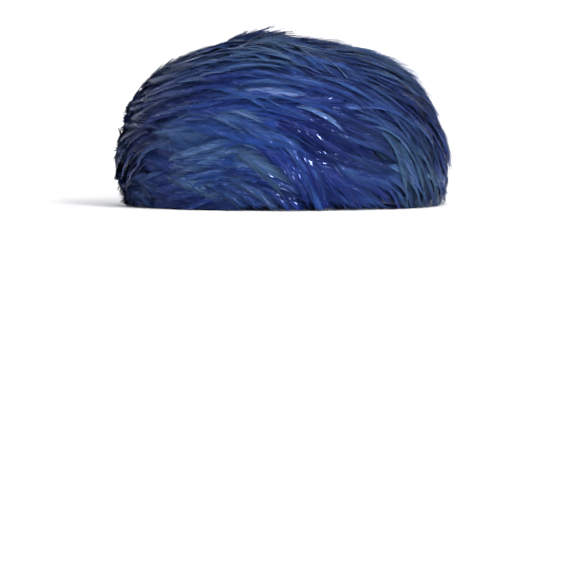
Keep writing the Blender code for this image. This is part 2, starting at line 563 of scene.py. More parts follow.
DYE_AND_PAINTED_LIGHT_PATCHES = (
    DyeAndPaintedLightPatch(angle_deg=-17, climb_mm=64, reach_mm=18, dye=0.32),
    DyeAndPaintedLightPatch(angle_deg=2, climb_mm=78, reach_mm=13, dye=0.92, grey=0.3),
    DyeAndPaintedLightPatch(angle_deg=-46, climb_mm=90, reach_mm=13, dye=0.62, grey=0.5),
    DyeAndPaintedLightPatch(angle_deg=-54, climb_mm=72, reach_mm=16, dye=0.50, grey=0.7),
    DyeAndPaintedLightPatch(angle_deg=-6, climb_mm=54, reach_mm=15, dye=0.24),
    DyeAndPaintedLightPatch(angle_deg=6, climb_mm=62, reach_mm=11, dye=0.62, grey=0.1),
    DyeAndPaintedLightPatch(angle_deg=-24, climb_mm=52, reach_mm=16, dye=0.34),
    DyeAndPaintedLightPatch(angle_deg=-24, climb_mm=40, reach_mm=12, dye=0.88, grey=0.1),
    DyeAndPaintedLightPatch(angle_deg=2, climb_mm=45, reach_mm=15, dye=1.00, grey=0.1),
    DyeAndPaintedLightPatch(angle_deg=-48, climb_mm=40, reach_mm=16, dye=0.02),
    DyeAndPaintedLightPatch(angle_deg=-40, climb_mm=32, reach_mm=11, dye=0.02),
    DyeAndPaintedLightPatch(angle_deg=-34, climb_mm=20, reach_mm=13, dye=0.36, grey=0.1),
    DyeAndPaintedLightPatch(angle_deg=-11, climb_mm=24, reach_mm=10, dye=0.72, grey=0.5),
    DyeAndPaintedLightPatch(angle_deg=2, climb_mm=29, reach_mm=9, dye=0.52, grey=0.2),
    # Painted shade: dark dye low at the front by the rim.
    DyeAndPaintedLightPatch(angle_deg=14, climb_mm=24, reach_mm=17, dye=0.00),
    DyeAndPaintedLightPatch(angle_deg=18, climb_mm=40, reach_mm=11, dye=0.10, grey=0.1),
    DyeAndPaintedLightPatch(angle_deg=34, climb_mm=45, reach_mm=13, dye=0.18, grey=0.5),
    DyeAndPaintedLightPatch(angle_deg=40, climb_mm=26, reach_mm=12, dye=0.26, grey=0.9),
    DyeAndPaintedLightPatch(angle_deg=58, climb_mm=29, reach_mm=20, dye=0.04, grey=0.4),
    DyeAndPaintedLightPatch(angle_deg=33, climb_mm=70, reach_mm=15, dye=0.26, grey=0.2),
    DyeAndPaintedLightPatch(angle_deg=59, climb_mm=78, reach_mm=16, dye=0.56, grey=1.0),
    DyeAndPaintedLightPatch(angle_deg=50, climb_mm=12, reach_mm=13, dye=0.62, grey=1.0),
    DyeAndPaintedLightPatch(angle_deg=-34, climb_mm=126, reach_mm=18, dye=0.70, grey=0.6),
    DyeAndPaintedLightPatch(angle_deg=37, climb_mm=116, reach_mm=10, dye=0.30, grey=0.1),
    DyeAndPaintedLightPatch(angle_deg=64, climb_mm=106, reach_mm=16, dye=0.50, grey=0.9),
    DyeAndPaintedLightPatch(angle_deg=-70, climb_mm=97, reach_mm=18, dye=0.54, grey=0.4),
    DyeAndPaintedLightPatch(angle_deg=-50, climb_mm=49, reach_mm=7, dye=0.38, grey=0.7),
    DyeAndPaintedLightPatch(angle_deg=-67, climb_mm=48, reach_mm=8, dye=0.74, grey=0.1),
    DyeAndPaintedLightPatch(angle_deg=-22, climb_mm=86, reach_mm=12, dye=0.62, grey=0.4),
    DyeAndPaintedLightPatch(angle_deg=19, climb_mm=63, reach_mm=10, dye=0.18, grey=0.1),
    DyeAndPaintedLightPatch(angle_deg=-11, climb_mm=85, reach_mm=9, dye=0.76, grey=0.4),
    DyeAndPaintedLightPatch(angle_deg=3, climb_mm=87, reach_mm=10, dye=1.00, grey=0.5),
    DyeAndPaintedLightPatch(angle_deg=74, climb_mm=84, reach_mm=12, dye=0.66, grey=1.0),
    DyeAndPaintedLightPatch(angle_deg=22, climb_mm=86, reach_mm=10, dye=0.60, grey=0.6),
    DyeAndPaintedLightPatch(angle_deg=42, climb_mm=88, reach_mm=12, dye=0.52, grey=0.7),
    DyeAndPaintedLightPatch(angle_deg=-8, climb_mm=44, reach_mm=9, dye=0.68, grey=0.1),
    DyeAndPaintedLightPatch(angle_deg=26, climb_mm=55, reach_mm=10, dye=0.02, grey=0.2),
    DyeAndPaintedLightPatch(angle_deg=41, climb_mm=58, reach_mm=10, dye=0.16, grey=0.8),
    DyeAndPaintedLightPatch(angle_deg=66, climb_mm=60, reach_mm=13, dye=0.08, grey=0.9),
    # The next two patches are painted shade: dark dye on the right flank and low at the front by the rim.
    DyeAndPaintedLightPatch(angle_deg=56, climb_mm=46, reach_mm=15, dye=0.00, grey=0.2),
    DyeAndPaintedLightPatch(angle_deg=24, climb_mm=19, reach_mm=12, dye=0.02),
    # The next two patches are painted light: paler dye low on the left.
    DyeAndPaintedLightPatch(angle_deg=-69, climb_mm=22, reach_mm=14, dye=0.70, grey=0.4),
    DyeAndPaintedLightPatch(angle_deg=-43, climb_mm=12, reach_mm=9, dye=0.82, grey=0.4),
    DyeAndPaintedLightPatch(angle_deg=-76, climb_mm=44, reach_mm=10, dye=0.26),
    # Painted shade: dark dye low at the front by the rim.
    DyeAndPaintedLightPatch(angle_deg=26, climb_mm=30, reach_mm=12, dye=0.02),
)

PUFFS = (
    Puff(angle_deg=-14, climb_mm=102, reach_mm=16, rise_mm=3.4),
    Puff(angle_deg=-44, climb_mm=120, reach_mm=16, rise_mm=2.4),
    Puff(angle_deg=22, climb_mm=98, reach_mm=20, rise_mm=-3.4),
    Puff(angle_deg=10, climb_mm=128, reach_mm=18, rise_mm=-3.4),
    Puff(angle_deg=4, climb_mm=128, reach_mm=14, rise_mm=-2.6),
    Puff(angle_deg=36, climb_mm=124, reach_mm=14, rise_mm=-1.6),
    Puff(angle_deg=46, climb_mm=120, reach_mm=18, rise_mm=-3.4),
    Puff(angle_deg=78, climb_mm=56, reach_mm=20, rise_mm=-2.4),
    Puff(angle_deg=62, climb_mm=112, reach_mm=24, rise_mm=-1.6),
    Puff(angle_deg=-62, climb_mm=108, reach_mm=20, rise_mm=-1.4),
    Puff(angle_deg=-75, climb_mm=24, reach_mm=30, rise_mm=3.2),
    Puff(angle_deg=-70, climb_mm=62, reach_mm=24, rise_mm=2.6),
    Puff(angle_deg=80, climb_mm=40, reach_mm=30, rise_mm=0.6),
    Puff(angle_deg=-31, climb_mm=44, reach_mm=13, rise_mm=0.8),
    Puff(angle_deg=8, climb_mm=36, reach_mm=13, rise_mm=0.8),
)

ROWS = (
    RowPlan(node="feather_row_1", slot="deep_royal_feather", low_mm=1.5, high_mm=24, seed=11, slick=True),
    RowPlan(node="feather_row_2", slot="steel_blue_feather", low_mm=24, high_mm=48, seed=12, slick=True),
    RowPlan(node="feather_row_3", slot="royal_feather", low_mm=48, high_mm=72, seed=13, slick=True),
    RowPlan(node="feather_row_4", slot="violet_blue_feather", low_mm=72, high_mm=96, seed=14, slick=True),
    RowPlan(node="feather_row_5", slot="slate_blue_feather", low_mm=96, high_mm=118, seed=15, slick=False),
    RowPlan(node="crown_feathers", slot="teal_grey_feather", low_mm=118, high_mm=150, seed=16, slick=False),
)

LAYERS = (
    Layer(
        line_gap_mm=8.0,
        spacing_mm=10.0,
        length_mm=44.0,
        width_mm=9.5,
        low_lift_mm=0.0,
        high_lift_mm=0.6,
        barbs=20,
        bends=2,
        darker=0.08,
        slick=False,
    ),
    Layer(
        line_gap_mm=6.8,
        spacing_mm=22.0,
        length_mm=48.0,
        width_mm=10.0,
        low_lift_mm=0.9,
        high_lift_mm=2.3,
        barbs=60,
        bends=3,
        darker=0.0,
        slick=True,
    ),
    Layer(
        line_gap_mm=12.0,
        spacing_mm=27.0,
        length_mm=42.0,
        width_mm=5.0,
        low_lift_mm=1.9,
        high_lift_mm=3.0,
        barbs=44,
        bends=3,
        darker=-0.14,
        slick=True,
    ),
)

RIM_LAYER = Layer(
    line_gap_mm=24.0,
    spacing_mm=7.5,
    length_mm=34.0,
    width_mm=8.5,
    low_lift_mm=-0.2,
    high_lift_mm=1.4,
    barbs=24,
    bends=2,
    darker=0.04,
    slick=False,
)

LONE_LAYER = LAYERS[1]

LONE_FEATHERS = (
    Lone(root_deg=-30, root_mm=10, tip_deg=-14, tip_mm=-4, bow_mm=-2, dye=0.50, grey=0.5),
    Lone(root_deg=-26, root_mm=11, tip_deg=-9, tip_mm=-5, bow_mm=-2, dye=0.42, grey=0.3),
    Lone(root_deg=-22, root_mm=11, tip_deg=-4, tip_mm=-6, dye=0.56, grey=0.6),
    Lone(root_deg=-18, root_mm=12, tip_deg=1, tip_mm=-7, dye=0.38, grey=0.1),
    Lone(root_deg=-14, root_mm=13, tip_deg=4, tip_mm=-7, dye=0.32),
    Lone(root_deg=-8, root_mm=38, tip_deg=11, tip_mm=-7, bow_mm=-7, width_mm=9, dye=0.58, grey=0.1),
    Lone(root_deg=-10, root_mm=35, tip_deg=10, tip_mm=-6, bow_mm=-5, dye=0.40),
    # These three tuft feathers are dyed dark: partly their own deep royal, partly painted shade low at the
    # front by the rim.
    Lone(root_deg=-1, root_mm=33, tip_deg=13, tip_mm=-5, bow_mm=-5, dye=0.20),
    Lone(root_deg=-4, root_mm=33, tip_deg=12, tip_mm=-4, bow_mm=-4, dye=0.28),
    Lone(root_deg=-15, root_mm=34, tip_deg=7, tip_mm=-3, bow_mm=-4, dye=0.26),
    Lone(root_deg=-2, root_mm=51, tip_deg=18, tip_mm=36, bow_mm=-2, width_mm=4, dye=0.85),
    Lone(root_deg=-45, root_mm=39, tip_deg=-15, tip_mm=40, bow_mm=-4, width_mm=10, dye=0.80, grey=0.1),
    Lone(root_deg=-42, root_mm=35, tip_deg=-13, tip_mm=31, bow_mm=-2, dye=0.54, grey=0.1),
    Lone(root_deg=-50, root_mm=27, tip_deg=-16, tip_mm=20, bow_mm=5, width_mm=9, dye=0.52, grey=0.1),
    Lone(root_deg=-49, root_mm=20, tip_deg=-20, tip_mm=1, bow_mm=3, dye=0.72, grey=0.5),
    Lone(root_deg=-62, root_mm=6, tip_deg=-32, tip_mm=24, bow_mm=-10, width_mm=7, dye=0.50, grey=0.5),
    Lone(root_deg=-70, root_mm=17, tip_deg=-46, tip_mm=3, width_mm=9, dye=0.34, grey=0.4),
    Lone(root_deg=-76, root_mm=9, tip_deg=-53, tip_mm=-1, width_mm=9, dye=0.44, grey=0.5),
    Lone(root_deg=-82, root_mm=13, tip_deg=-60, tip_mm=-2, width_mm=9, dye=0.30, grey=0.3),
    Lone(root_deg=2, root_mm=68, tip_deg=30, tip_mm=52, bow_mm=-1, width_mm=5, dye=0.62, grey=0.1),
    Lone(root_deg=36, root_mm=78, tip_deg=54, tip_mm=59, bow_mm=-1, width_mm=5, dye=0.66, grey=0.8),
    Lone(root_deg=12, root_mm=96, tip_deg=23, tip_mm=67, bow_mm=-1, width_mm=6, dye=0.68, grey=0.5),
    Lone(root_deg=-30, root_mm=90, tip_deg=-3, tip_mm=90, bow_mm=0, width_mm=9, dye=0.76, grey=0.6),
    Lone(root_deg=-22, root_mm=92, tip_deg=15, tip_mm=93, bow_mm=0, width_mm=11, dye=0.82, grey=0.6),
    Lone(root_deg=-26, root_mm=116, tip_deg=18, tip_mm=67, bow_mm=-2, width_mm=4.5, dye=0.74, grey=0.3),
    Lone(root_deg=12, root_mm=44, tip_deg=46, tip_mm=41, bow_mm=-4, dye=0.40, grey=0.4),
    Lone(root_deg=31, root_mm=44, tip_deg=62, tip_mm=23, bow_mm=-5, width_mm=6.5, dye=0.56, grey=0.6),
    Lone(root_deg=29, root_mm=44, tip_deg=43, tip_mm=-1, bow_mm=-4, width_mm=9, dye=0.44, grey=1.0),
    Lone(root_deg=35, root_mm=39, tip_deg=53, tip_mm=-1, bow_mm=-4, width_mm=9, dye=0.50, grey=1.0),
    Lone(root_deg=40, root_mm=34, tip_deg=62, tip_mm=0, bow_mm=-4, width_mm=9, dye=0.46, grey=1.0),
    Lone(root_deg=46, root_mm=20, tip_deg=67, tip_mm=-3, bow_mm=-4, width_mm=9, dye=0.66, grey=1.0),
    Lone(root_deg=52, root_mm=16, tip_deg=73, tip_mm=-3, width_mm=9, dye=0.54, grey=0.6),
    Lone(root_deg=60, root_mm=15, tip_deg=80, tip_mm=-3, width_mm=9, dye=0.44, grey=0.5),
    Lone(root_deg=36, root_mm=14, tip_deg=58, tip_mm=-4, dye=0.50, grey=0.5),
    Lone(root_deg=20, root_mm=14, tip_deg=40, tip_mm=-3, dye=0.28, grey=0.2),
    Lone(root_deg=28, root_mm=15, tip_deg=47, tip_mm=-3, dye=0.40, grey=0.6),
    Lone(root_deg=-20, root_mm=28, tip_deg=0, tip_mm=2, width_mm=10, dye=0.60, grey=0.8),
    Lone(root_deg=-34, root_mm=60, tip_deg=-6, tip_mm=48, bow_mm=-1, width_mm=5, dye=0.60),
    Lone(root_deg=-15, root_mm=96, tip_deg=11, tip_mm=76, bow_mm=-1, width_mm=10, dye=0.64, grey=0.1),
    Lone(root_deg=-16, root_mm=9, tip_deg=3, tip_mm=-1, bow_mm=-2, width_mm=7, dye=0.25, grey=0.4),
    # These two feathers are dyed darker as painted shade low at the front by the rim.
    Lone(root_deg=12, root_mm=10, tip_deg=35, tip_mm=0, bow_mm=-2, dye=0.22),
    Lone(root_deg=6, root_mm=12, tip_deg=24, tip_mm=-4, bow_mm=-2, width_mm=5, dye=0.18),
)


LiftRule = Callable[[np.ndarray, np.ndarray], np.ndarray]


@dataclass(frozen=True)
class FeatherCut:
    """How every feather is cut: its barbs, shaft and curves.

    The barbs stand in groups that split apart, and in clumps that share a tone. A few stray. The slick
    barbs are short, lie flat on the vanes and are set on the front of the hat alone.
    """

    spine_steps: int = 10
    first_barb: float = 0.08
    last_barb: float = 0.975
    root_angle: float = math.radians(34)
    tip_angle: float = math.radians(11)
    barb_curl: float = 0.40
    barb_turn: float = 0.045
    widest: float = 0.46
    fullness: float = 0.74
    splits: int = 5
    split_turn: float = 0.09
    split_uneven: float = 0.6
    clump: int = 3
    clump_share: float = 0.6
    length_spread: float = 0.12
    stray_share: float = 0.04
    stray_length: float = 1.35
    stray_width: float = 0.5
    overlap: float = 1.7
    taper_power: float = 1.25
    end_width: float = 0.04
    louvre: float = 0.036 * MM
    louvre_least: float = 0.4
    louvre_range: float = 1.6
    camber: float = 0.15
    shaft_radius: float = 0.30 * MM
    shaft_taper: float = 0.70
    shaft_rise: float = 0.4
    slick_barbs: int = 20
    slick_from: float = 0.36
    slick_to: float = 0.92
    slick_spread: float = 0.75
    slick_length: float = 1.8 * MM
    slick_width: float = 0.38 * MM
    slick_lift: float = 0.25 * MM
    slick_roll: float = math.radians(7)
    slick_pitch: float = math.radians(5)
    slick_start: float = math.radians(-36)
    slick_end: float = math.radians(54)

    def half_width(self, share: np.ndarray) -> np.ndarray:
        """Find how wide a vane is along the feather, as a share of its widest."""
        power = math.log(0.5) / math.log(self.widest)
        return np.sin(math.pi * np.clip(share, 0.0, 1.0) ** power) ** self.fullness

    def lean(self, share: np.ndarray) -> np.ndarray:
        """Find how far the barbs lean off the rachis along the feather."""
        return self.root_angle + (self.tip_angle - self.root_angle) * share


@dataclass
class Plumage:
    """Arrays with one entry for each feather of a layer."""

    layer: Layer
    places: np.ndarray
    extra_lift: np.ndarray
    width: np.ndarray
    tilt: np.ndarray
    dye: np.ndarray
    grey: np.ndarray

    @property
    def count(self) -> int:
        """How many feathers there are."""
        return len(self.places)


@dataclass
class Spine:
    """The rachis of each feather: its points, and its ways along, up and out at each of them."""

    points: np.ndarray
    along: np.ndarray
    up: np.ndarray
    out: np.ndarray

    @property
    def length(self) -> np.ndarray:
        """Each rachis's length."""
        return np.linalg.norm(np.diff(self.points, axis=1), axis=-1).sum(axis=1)

    def at(self, share: np.ndarray) -> "Spine":
        """Find places between the points.

        Args:
            share: Shares of the rachis's length.

        Returns:
            The rachis at those shares.
        """
        last = self.points.shape[1] - 1
        place = np.clip(share, 0.0, 1.0) * last
        low = np.minimum(place.astype(int), last - 1)
        part = (place - low)[None, :, None]
        ways = (self.points, self.along, self.up, self.out)
        points, along, up, out = (a[:, low] * (1 - part) + a[:, low + 1] * part for a in ways)
        return Spine(points, unit(along), unit(up), unit(out))

    def offset(self, along: np.ndarray, up: np.ndarray, out: np.ndarray) -> np.ndarray:
        """Find points off the rachis.

        Args:
            along: How far they lie along it, with a last axis more than the rachis's places.
            up: How far they lie up from it.
            out: How far they lie out from it.

        Returns:
            The points.
        """
        place = self.points[:, :, None]
        for far, way in ((along, self.along), (up, self.up), (out, self.out)):
            place = place + far[..., None] * way[:, :, None]
        return place


@dataclass
class MeshParts:
    """Faces of one piece, with what the material and the bake read at each vertex.

    The bake's map is a square grid of cells, one for each feather.
    """

    feathers: int
    laid: int = 0
    vertices: int = 0
    lowest: float = 0.5 * MM
    cell_margin: float = 0.02
    points: list[np.ndarray] = field(default_factory=list)
    faces: list[np.ndarray] = field(default_factory=list)
    places: list[np.ndarray] = field(default_factory=list)
    finishes: list[np.ndarray] = field(default_factory=list)
    marks: dict[str, list[np.ndarray]] = field(default_factory=dict)

    def cells(self, shape: tuple[int, ...], along: np.ndarray, across: np.ndarray) -> np.ndarray:
        """Find places in the cells of the feathers that are laid next.

        Args:
            shape: The shape of the places, with the feathers along the first axis.
            along: How far along the cell they lie, from 0 to 1.
            across: How far across the cell they lie.

        Returns:
            Places in the whole map.
        """
        grid = math.ceil(math.sqrt(self.feathers))
        number = (np.arange(shape[0]) + self.laid).reshape((-1,) + (1,) * (len(shape) - 1))
        inner = 1.0 - 2.0 * self.cell_margin
        ways = [
            np.broadcast_to((cell + self.cell_margin + inner * local) / grid, shape)
            for cell, local in ((number % grid, along), (number // grid, across))
        ]
        return np.stack(ways, axis=-1)

    def add(
        self,
        feathers: Plumage,
        points: np.ndarray,
        faces: np.ndarray,
        cell: tuple[np.ndarray, np.ndarray],
        finish: Finish,
        kept: np.ndarray | None = None,
        **marks: Any,
    ) -> None:
        """Add vertices and four-cornered faces for some feathers.

        Args:
            feathers: The feathers.
            points: The vertices' places in space, with the feathers along the first axis.
            faces: Four vertex numbers for each face, counted from the first vertex that is kept.
            cell: How far along and across their feather's cell of the map the vertices lie.
            finish: Which of the piece's materials the faces have.
            kept: Which vertices are kept, along the first axes, or None for all.
            **marks: Numbers for the vertices, by the name of the attribute.
        """
        shape = points.shape[:-1]
        chosen = np.ones(len(points), dtype=bool) if kept is None else kept
        one_each = (-1,) + (1,) * (len(shape) - 1)
        marks = {"dye": feathers.dye.reshape(one_each), "grey": feathers.grey.reshape(one_each), **marks}
        for name, values in marks.items():
            self.marks.setdefault(name, []).append(np.broadcast_to(values, shape)[chosen].ravel())
        added = points[chosen].reshape(-1, 3)
        added[:, 2] = np.maximum(added[:, 2], self.lowest)
        self.points.append(added)
        self.faces.append(faces.reshape(-1, 4) + self.vertices)
        self.places.append(self.cells(shape, *cell)[chosen].reshape(-1, 2))
        self.finishes.append(np.full(len(self.faces[-1]), finish.value, dtype=np.int32))
        self.vertices += len(added)

    def build(self, name: str) -> Any:
        """Make the mesh object.

        Args:
            name: The object's name.

        Returns:
            The object, linked to the scene.
        """
        points, faces, places, finishes = (
            np.concatenate(arrays) for arrays in (self.points, self.faces, self.places, self.finishes)
        )
        mesh = bpy.data.meshes.new(name)
        mesh.vertices.add(len(points))
        mesh.vertices.foreach_set("co", points.astype(np.float32).ravel())
        mesh.loops.add(faces.size)
        mesh.loops.foreach_set("vertex_index", faces.astype(np.int32).ravel())
        mesh.polygons.add(len(faces))
        mesh.polygons.foreach_set("loop_start", np.arange(0, faces.size, 4, dtype=np.int32))
        mesh.update(calc_edges=True)
        mesh.polygons.foreach_set("use_smooth", finishes == Finish.VANE.value)
        mesh.polygons.foreach_set("material_index", finishes)
        layer = mesh.uv_layers.new(name=BAKE_MAP)
        layer.data.foreach_set("uv", places[faces.ravel()].astype(np.float32).ravel())
        for mark, values in self.marks.items():
            attribute = mesh.attributes.new(mark, "FLOAT", "POINT")
            attribute.data.foreach_set("value", np.concatenate(values).astype(np.float32))
        return new_object(name, mesh)


@dataclass
class FeatherBatch:
    """A layer's feathers on the hat, which are cut barb by barb into a piece's mesh.

    In a feather's cell of the bake's map each barb has a band, and so have the shaft and the slick barbs.
    """

    cut: FeatherCut
    feathers: Plumage
    spine: Spine
    parts: MeshParts
    rng: np.random.Generator
    cell_end: float = 0.03
    barb_band: tuple[float, float] = (0.15, 0.85)
    shaft_band: tuple[float, float, float] = (0.2, 0.5, 0.8)
    slick_half_place: tuple[float, float] = (0.4, 0.3)

    def cell_along(self, share: np.ndarray) -> np.ndarray:
        """Find how far along the feather's cell the shares lie, clear of its ends."""
        return self.cell_end + (1.0 - 2.0 * self.cell_end) * share

    def cut_barbs(self, share: np.ndarray) -> tuple[np.ndarray, np.ndarray, np.ndarray]:
        """Find how the barbs of one vane lean and how long they are.

        Args:
            share: Where along the feather the barbs stand.

        Returns:
            The barbs' leans, their lengths and which of them stray.
        """
        cut, feathers, rng = self.cut, self.feathers, self.rng
        group = np.floor(share * cut.splits + rng.random((feathers.count, 1))).astype(int)
        size = (feathers.count, cut.splits + 1)
        turn, longer = (np.take_along_axis(rng.normal(size=size), group, axis=1) for _ in range(2))
        turn = cut.split_turn * turn + cut.barb_turn * rng.normal(size=group.shape)
        lean = cut.lean(share) * (1.0 + turn)
        across = feathers.width[:, None] / 2 * cut.half_width(share)
        reach = across / np.sin(lean * (1 - cut.barb_curl / 2))
        reach = reach * (1.0 + cut.length_spread * (cut.split_uneven * longer + bell(rng, group.shape)))
        stray = rng.random(group.shape) < cut.stray_share
        return lean, np.where(stray, reach * cut.stray_length, reach), stray

    def add_vane(self, side: Side) -> None:
        """Add one vane to every feather, each barb as a strip that tapers and curls towards the tip.

        Args:
            side: Which vane.
        """
        cut, feathers, layer, rng = self.cut, self.feathers, self.feathers.layer, self.rng
        count, barbs = feathers.count, layer.barbs
        share = np.linspace(cut.first_barb, cut.last_barb, barbs)
        lean, reach, stray = self.cut_barbs(share)
        stations = np.linspace(0.0, 1.0, layer.bends + 1)
        turn = lean[..., None] * (1.0 - cut.barb_curl * stations)
        middle = (turn[..., 1:] + turn[..., :-1]) / 2
        leg = reach[..., None] * np.diff(stations)
        start = np.zeros((count, barbs, 1))
        ahead, aside = (
            np.concatenate([start, np.cumsum(way(middle) * leg, axis=-1)], axis=-1)
            for way in (np.cos, np.sin)
        )
        pitch = self.spine.length[:, None] * (cut.last_barb - cut.first_barb) / (barbs - 1)
        full = pitch * np.sin(lean) * cut.overlap * np.where(stray, cut.stray_width, 1.0)
        wide = full[..., None] * (1.0 - (1.0 - cut.end_width) * stations**cut.taper_power)
        sink = -cut.camber * aside * aside / (feathers.width[:, None, None] / 2)
        clumps = -(-barbs // cut.clump)
        strand = np.repeat(rng.random((count, clumps)), cut.clump, axis=1)[:, :barbs]
        strand = cut.clump_share * strand + (1.0 - cut.clump_share) * rng.random((count, barbs))
        twist = cut.louvre * (cut.louvre_least + cut.louvre_range * strand[..., None])
        base = self.spine.at(share)
        edges = [
            base.offset(
                ahead + way * wide / 2 * np.sin(turn),
                side.value * (aside - way * wide / 2 * np.cos(turn)),
                sink + way * twist,
            )
            for way in (-1.0, 1.0)
        ]
        shape = (count, barbs, len(stations), 2)
        order = np.arange(math.prod(shape)).reshape(shape)
        quads = [order[:, :, :-1, 0], order[:, :, 1:, 0], order[:, :, 1:, 1], order[:, :, :-1, 1]]
        if side is Side.UPPER:
            quads.reverse()
        band = np.arange(barbs) + (0 if side is Side.UPPER else barbs)
        across = (band[:, None] + np.array(self.barb_band)) / layer.bands
        self.parts.add(
            feathers,
            np.stack(edges, axis=3),
            np.stack(quads, axis=-1),
            (self.cell_along(stations)[:, None], across[:, None, :]),
            Finish.VANE,
            strand=strand[..., None, None],
            reach=stations[:, None],
            run=share[:, None, None],
        )

    def add_shafts(self) -> None:
        """Add every feather's rachis as a three-sided tapering rod with a flat side out."""
        cut, spine, layer = self.cut, self.spine, self.feathers.layer
        share = np.linspace(0.0, 1.0, spine.points.shape[1])
        radius = cut.shaft_radius * (1.0 - cut.shaft_taper * share)[None, :, None]
        around = (math.pi / 3, math.pi, 5 * math.pi / 3)
        ring = [math.cos(a) * spine.out * radius + math.sin(a) * spine.up * radius for a in around]
        middle = spine.points + cut.shaft_rise * radius * spine.out
        shape = (self.feathers.count, len(share), len(around))
        order = np.arange(math.prod(shape)).reshape(shape)
        after = np.roll(order, -1, axis=2)
        self.parts.add(
            self.feathers,
            middle[:, :, None] + np.stack(ring, axis=2),
            np.stack([order[:, :-1], after[:, :-1], after[:, 1:], order[:, 1:]], axis=-1),
            (self.cell_along(share)[:, None], (2 * layer.barbs + np.array(self.shaft_band)) / layer.bands),
            Finish.SHAFT,
            strand=0.5,
            reach=0.0,
            run=share[:, None],
        )

    def add_slick_barbs(self) -> None:
        """Lay short slick barbs on the feathers in front: flat strips at odd tilts, some of which glint."""
        cut, feathers, layer, rng = self.cut, self.feathers, self.feathers.layer, self.rng
        shape = (feathers.count, cut.slick_barbs)
        share = np.linspace(cut.slick_from, cut.slick_to, cut.slick_barbs)
        base = self.spine.at(share)
        half = feathers.width[:, None] / 2
        aside = rng.uniform(-cut.slick_spread, cut.slick_spread, shape) * half * cut.half_width(share)
        height = cut.slick_lift - cut.camber * aside * aside / half
        pitch = cut.slick_pitch * rng.normal(size=shape)
        roll = cut.slick_roll * rng.normal(size=shape)
        middle = base.points + aside[..., None] * base.up + height[..., None] * base.out
        level = turned(base.along, base.up, np.sign(aside) * cut.lean(share))
        ahead = turned(level, base.out, pitch)
        across = np.cross(base.out, level)
        across = turned(across, np.cross(ahead, across), roll)
        corners = np.array([(-1, -1), (1, -1), (1, 1), (-1, 1)])
        long, wide = cut.slick_length * ahead, cut.slick_width * across
        angle = np.arctan2(middle[..., 0], -middle[..., 1])
        kept = (angle > cut.slick_start) & (angle < cut.slick_end)
        cell_along, cell_across = (self.slick_half_place * corners).T
        self.parts.add(
            feathers,
            np.stack([middle + (i * long + j * wide) / 2 for i, j in corners], axis=2),
            np.arange(4 * int(kept.sum())),
            (
                (np.arange(cut.slick_barbs)[:, None] + 0.5 + cell_along) / cut.slick_barbs,
                (2 * layer.barbs + 1.5 + cell_across) / layer.bands,
            ),
            Finish.SLICK,
            kept,
            strand=rng.random((*shape, 1)),
            reach=0.5,
            run=share[:, None],
        )


@dataclass
class FeatherMaker:
    """Lays feathers on the hat and has them cut.

    A feather's own lift is pressed down on the crown, and its root is sunk under the feathers above.
    """

    form: HatForm
    cut: FeatherCut = FeatherCut()
    root_sink: float = 1.5 * MM
    sunk_share: float = 0.3
    lifted_share: float = 0.4
    least_lift: float = 0.3 * MM
    least_share: float = 0.3
    crown_press: float = 0.4
    press_climbs: tuple[float, float] = (0.050, 0.090)

    def spine(self, feathers: Plumage, lift_at: LiftRule) -> Spine:
        """Run each feather's rachis over the hat.

        Args:
            feathers: The feathers.
            lift_at: Gives heights off the cap for climbs and shares along the feathers.

        Returns:
            The rachises, from root to tip.
        """
        angle, climb = self.form.from_chart(feathers.places)
        share = np.linspace(0.0, 1.0, angle.shape[1])[None, :]
        extra = feathers.extra_lift[:, None] * (1.0 - self.crown_press * smooth(*self.press_climbs, climb))
        lift = lift_at(climb, share) + extra * smooth(0.0, self.lifted_share, share)
        lift = lift - self.root_sink * (1.0 - smooth(0.0, self.sunk_share, share))
        for puff in PUFFS:
            lift = lift + puff.rise_mm * MM * self.form.nearness(angle, climb, puff)
        lift = np.maximum(lift, self.least_lift + self.least_share * extra)
        out = self.form.outward(angle, climb)
        points = self.form.point(angle, climb) + lift[..., None] * out
        along = unit(np.gradient(points, axis=1))
        up = unit(np.cross(out, along))
        out = np.cross(along, up)
        tilt = feathers.tilt[:, None]
        return Spine(points, along, turned(up, -out, tilt), turned(out, up, tilt))

    def add(
        self, parts: MeshParts, feathers: Plumage, lift_at: LiftRule, slick: bool, rng: np.random.Generator
    ) -> None:
        """Add a layer's feathers to a piece.

        Args:
            parts: The mesh to add to.
            feathers: The feathers.
            lift_at: Gives heights off the cap for climbs and shares along the feathers.
            slick: Whether the piece has slick barbs.
            rng: The random numbers.
        """
        batch = FeatherBatch(self.cut, feathers, self.spine(feathers, lift_at), parts, rng)
        for side in Side:
            batch.add_vane(side)
        batch.add_shafts()
        if slick and feathers.layer.slick:
            batch.add_slick_barbs()
        parts.laid += feathers.count


@dataclass(frozen=True)
class Scatter:
    """How feathers are strewn: the steady part of each measure, and its spread from one to the next."""

    line_start: float = 0.3
    line_shift: float = 0.62
    fewest: int = 4
    girth_angle: float = math.pi / 4
    place: float = 0.28
    climb: float = 1.7 * MM
    length: float = 0.14
    width: float = 0.15
    turn: float = math.radians(7)
    droop: float = math.radians(10)
    droop_spread: float = math.radians(14)
    tilt: float = math.radians(8)
    tilt_spread: float = math.radians(5)
    dye: float = 0.07
    grey: float = 0.12


@dataclass(frozen=True)
class GroundDye:
    """How the dye took between the patches: slow waves round the hat and up it."""

    weight: float = 0.25
    dye: float = 0.38
    dye_swing: float = 0.12
    dye_waves: int = 3
    dye_climb: float = 0.009
    grey: float = 0.22
    grey_swing: float = 0.20
    grey_waves: int = 2
    grey_climb: float = 0.017


